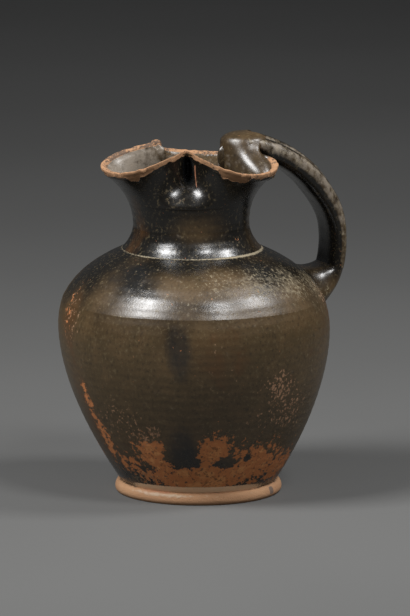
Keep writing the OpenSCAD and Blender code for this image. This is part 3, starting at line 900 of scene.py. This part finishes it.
def paint_slip(piece):
    """The marks on the outside of the body, and the lime in its joins."""
    a, z, r = points_of(piece)
    outside = r > np.interp(z, body_curve[:, 1], body_curve[:, 0]) - 2.5
    paint(piece, **{kind: np.where(outside, marked(kind, a, z, r), 0) for kind in body_marks})
    seam = bump_at(z, neck_seam_z, 0.55) * seam_lime(a)
    line = bump_at(z, shoulder_join_z, 0.45) * (0.55 * dent(a, 215, 12) + 0.4 * dent(a, 285, 25))
    hem_line = bump_at(z, 9.3, 0.5) * 0.62 * dent(a, 243, 36, 4)
    paint(piece, lime=np.where(outside, np.maximum(seam, np.maximum(line, hem_line)), 0))

def neck_wear(a, z):
    """Rust and thin slip on the neck, which the mouth above it carries on."""
    return {"rust": 0.6 * dent(a, 184, 20) * smooth((z - 118) / 6) * smooth((162 - z) / 14),
            "thin": 0.6 * dent(a, 252, 34) * bump_at(z, 139, 13) + 0.4 * dent(a, 330, 30)}

def paint_neck(piece):
    """Wear on the neck, with a little crust and the lime in its seam."""
    a, z, r = points_of(piece)
    paint(piece, **neck_wear(a, z), crust=0.25 * dent(a, 300, 40) * smooth((136 - z) / 8),
          lime=bump_at(z, neck_seam_z, 0.5) * seam_lime(a))

def paint_mouth(piece):
    """Slip worn off the lip and flaked off below it, dark grey painted into the thumb pit as painted
    shade, and pale dust inside the spout that is partly painted light.
    """
    a, z, r = points_of(piece)
    rim_top = mouth_z(a, np.ones(len(a))) + lip_h
    above_foot = np.clip((z - rim_top + lip_h) / lip_h, 0, 1)
    outer = r + thumb_pit(a, r + 2, z) > mouth_r(a, mouth_share(a, z)) - 1.5 + 2.3 * above_foot
    reach = worn_edge_h + flaked(a) + 0.5 * rough(a, 3.2, 5.0)
    edge = smooth((z - rim_top + reach) / 0.45 + 0.5)
    top = smooth((z - rim_top + 1.5) / 0.5)
    clay = np.where(outer, edge, top) * (1 - dent(a, 0, 23, 8))
    paint(piece, rim=clay, rim_dirt=clay * (0.3 + 0.3 * rough(a, 14, 21.0) + 0.25 * ~outer))
    crack = dent(a, crack_angle, 0.9) * smooth((z - 156) / 3) * smooth((170 - z) / 2)
    chips = edge * smooth((rim_top - z - 1.8) / 0.8) * (0.75 * dent(a, 205, 14) + 0.6 * dent(a, 278, 16))
    wear = neck_wear(a, z)
    # Pale dust on the inner wall of the spout lobe: partly real dust, partly painted light standing in
    # for the lamps' reflection on that glossy wall.
    spout_floor = (~outer) * dent(a, 165, 42, 4) * smooth((z - 150) / 8)
    paint(piece, chip=np.where(outer, np.maximum(chips, 0.75 * crack), 0),
          # The thumb pit is painted dark grey: painted shade in its recess.
          smoke=np.clip(1.8 * thumb_pit(a, r + 3, z) / thumb_pit_depth, 0, 1),
          rust=np.where(outer, wear["rust"], 0), thin=np.where(outer, wear["thin"], 0.5),
          dust=np.maximum(spout_floor, (~outer) * 0.3 * dent(a, 330, 40) * (z > 155)))

def paint_root(piece, crust, dust, thin):
    """Crust, dust and thin slip on the clay that joins the handle. On the lower root they
    grow with the distance from the strap."""
    a, z, r = points_of(piece)
    away = np.where(z > column_base_z - 10, 1, smooth((109 - z) / 12))
    paint(piece, crust=crust * away, dust=dust * away * smooth((176 - z) / 8),
          thin=0.3 + thin * away)

def paint_handle(piece):
    """Dust, crust and thin slip on the strap's near edge, partly a painted highlight, black slip on its
    inner face as painted shade, and rust on its inner face near the mouth.
    """
    x, y, z = point_values(piece, "co") / MM
    facing_x, facing_y, facing_z = point_values(piece, "normal")
    from_arc = np.array((x, z)) - np.array(arc_middle)[:, None]
    from_arc /= np.linalg.norm(from_arc, axis=0)
    outward = facing_x * from_arc[0] + facing_z * from_arc[1]
    # The near edge, which faces the side nearest the camera, is painted paler with dust, crust and thin
    # slip: partly real wear, partly a painted highlight. The inner face loses its thin slip and, low
    # down, its crust: painted shade. The rust near the mouth is real.
    edge = smooth((-facing_y - 0.2) / 0.5) * smooth((outward + 0.45) / 0.4)
    inner = smooth((-outward - 0.1) / 0.4)
    paint(piece, crust=0.3 + 0.25 * edge - 0.25 * inner * smooth((160 - z) / 12),
          rust=0.5 * inner * smooth((z - 150) / 8), thin=0.3 + 0.2 * edge - 0.3 * inner,
          dust=0.4 * edge * smooth((z - 112) / 30) + 0.22 * edge)

def paint_foot(piece):
    """Whitish bloom, grime, a reddish smear and one brown stain on the foot."""
    a, z, r = points_of(piece)
    paint(piece, bloom=bump_at(z, 4.6, 1.2) * (0.3 + 0.5 * dent(a, 218, 26)),
          grime=0.6 * smooth((z - 5.4) / 0.6) * (1 - dent(a, 243, 36, 4)),
          rust=0.6 * dent(a, 212, 16) * smooth((z - 2) / 3),
          stain=dent(a, 306.5, 2.8, 6) * bump_at(z, 3.5, 2.0, 4))

# ---- lime crumbs

def crumb_tree():
    """Crumbs of lime seated on a skin, most where its crust attribute is strong."""
    tree, node, given = new_tree("lime_crumbs", {
        "Most Crumbs": "Float", "Least Size": "Float", "Greatest Size": "Float", "Seed": "Int",
        "Material": "Material"})
    density = node(RANGE, node(STORED, "crust"), 0.3, 0.7, 0.0, given["Most Crumbs"])
    scatter = node("GeometryNodeDistributePointsOnFaces", given["Geometry"], named={
        "Density": density, "Seed": given["Seed"]}).node
    crumb = node("GeometryNodeMeshIcoSphere", 1.0, 1)
    size = node("FunctionNodeRandomValue", named={
        2: given["Least Size"], 3: given["Greatest Size"], "Seed": given["Seed"]}, out=1,
        data_type="FLOAT")
    flat = node(JOIN_XYZ, size, size, node(MATHS, size, 0.35, operation="MULTIPLY"))
    crumbs = node("GeometryNodeInstanceOnPoints", scatter.outputs["Points"], named={
        "Instance": crumb, "Rotation": scatter.outputs["Rotation"], "Scale": flat})
    end_tree(node, crumbs, given["Material"])
    return tree

crumbling = crumb_tree()

# ---- building the jug

# The piece that stands for each CAD node, and how it has worn, with the painted light and shade on the
# mouth and the handle
pieces = {}
for node_name, made_piece, wear in (
        ("foot_ring", foot_ring, paint_foot),
        ("lower_body", lower_body, paint_slip),
        ("shoulder", shoulder, paint_slip),
        ("neck", neck, paint_neck),
        ("trefoil_mouth", trefoil_mouth, paint_mouth),
        ("handle", handle, paint_handle),
        ("handle_upper_root", handle_upper_root, partial(paint_root, crust=0.2, dust=0.25, thin=0.3)),
        ("handle_lower_root", handle_lower_root, partial(paint_root, crust=0.5, dust=0.2, thin=0.4))):
    piece = pieces[node_name] = made_piece()
    wear(piece)
    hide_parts(node_name)
    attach(piece, "root")
for seed, node_name in enumerate(("shoulder", "handle_lower_root"), start=1):
    mesh = grow(pieces[node_name], crumbling, {
        "Most Crumbs": 1.6e5, "Least Size": 0.1 * MM, "Greatest Size": 0.3 * MM, "Seed": seed,
        "Material": lime_crust})
    crumbs = piece_of(pieces[node_name].name + "_lime", mesh, lime_crust)
    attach(crumbs, "root")

# ---- floor

# A wide sheet of matt grey paper: even, without shine
paper = clay_material(
    "matt_grey_paper", "#555554", [(None, "tone", 1.0, 0.3, 0.7, 1, "#595958", None, 0)],
    [("tone", 400, 2, 0.5, 1), ("fibre", 1.5, 2, 0.5, 1)], [("fibre", 1.0)], 0.05, ("tone", 0.88, 0.94))
half_floor = 9
floor_corners = [(x * half_floor, y * half_floor, 0) for x, y in ((-1, -1), (1, -1), (1, 1), (-1, 1))]
floor_mesh = bpy.data.meshes.new("studio_floor")
floor_mesh.from_pydata(floor_corners, [], [(0, 1, 2, 3)])
piece_of("studio_floor", floor_mesh, paper)

# ---- camera and light

camera_azimuth = math.radians(-25)
camera_elevation = math.radians(10.5)
camera_distance = 4.0
view_height = 308 * MM
to_camera = Vector((math.sin(camera_azimuth) * math.cos(camera_elevation),
                    -math.cos(camera_azimuth) * math.cos(camera_elevation), math.sin(camera_elevation)))
to_right = Vector((math.cos(camera_azimuth), math.sin(camera_azimuth), 0))
aim = Vector((0, 0, 92.4 * MM)) + to_right * 3.3 * MM

lens = bpy.data.cameras.new("camera")
lens.sensor_fit = "VERTICAL"
lens.sensor_height = 36
lens.lens = lens.sensor_height * camera_distance / view_height
lens.clip_end = 50
camera = placed("camera", lens)
camera.location = aim + to_camera * camera_distance
camera.rotation_euler = (-to_camera).to_track_quat("-Z", "Y").to_euler()
bpy.context.scene.camera = camera

light_aim = Vector((0, 0, 0.11))
light_distance = 1.4
light_spread = math.radians(130)

# Soft boxes that face the jug, placed by their directions in degrees
for name, azimuth, elevation, width, height, power in (
        ("left_soft_box", 187, 50, 0.5, 0.5, 12.5),
        ("right_soft_box", -79, 53, 0.3, 0.35, 4.8),
        ("rear_soft_box", -32, 51, 0.35, 0.35, 5.5)):
    turn, tilt = math.radians(azimuth), math.radians(elevation)
    away = Vector((math.cos(turn) * math.cos(tilt), math.sin(turn) * math.cos(tilt), math.sin(tilt)))
    light = bpy.data.lights.new(name, "AREA")
    light.shape = "RECTANGLE"
    light.size = width
    light.size_y = height
    light.energy = power
    light.spread = light_spread
    lamp = placed(name, light)
    lamp.location = light_aim + away * light_distance
    lamp.rotation_euler = (-away).to_track_quat("-Z", "Y").to_euler()

world = bpy.data.worlds.new("studio")
world.use_nodes = True
background = world.node_tree.nodes["Background"]
background.inputs["Color"].default_value = linear("#8f9194")
background.inputs["Strength"].default_value = 0.21
bpy.context.scene.world = world
bpy.context.scene.view_settings.view_transform = "Standard"
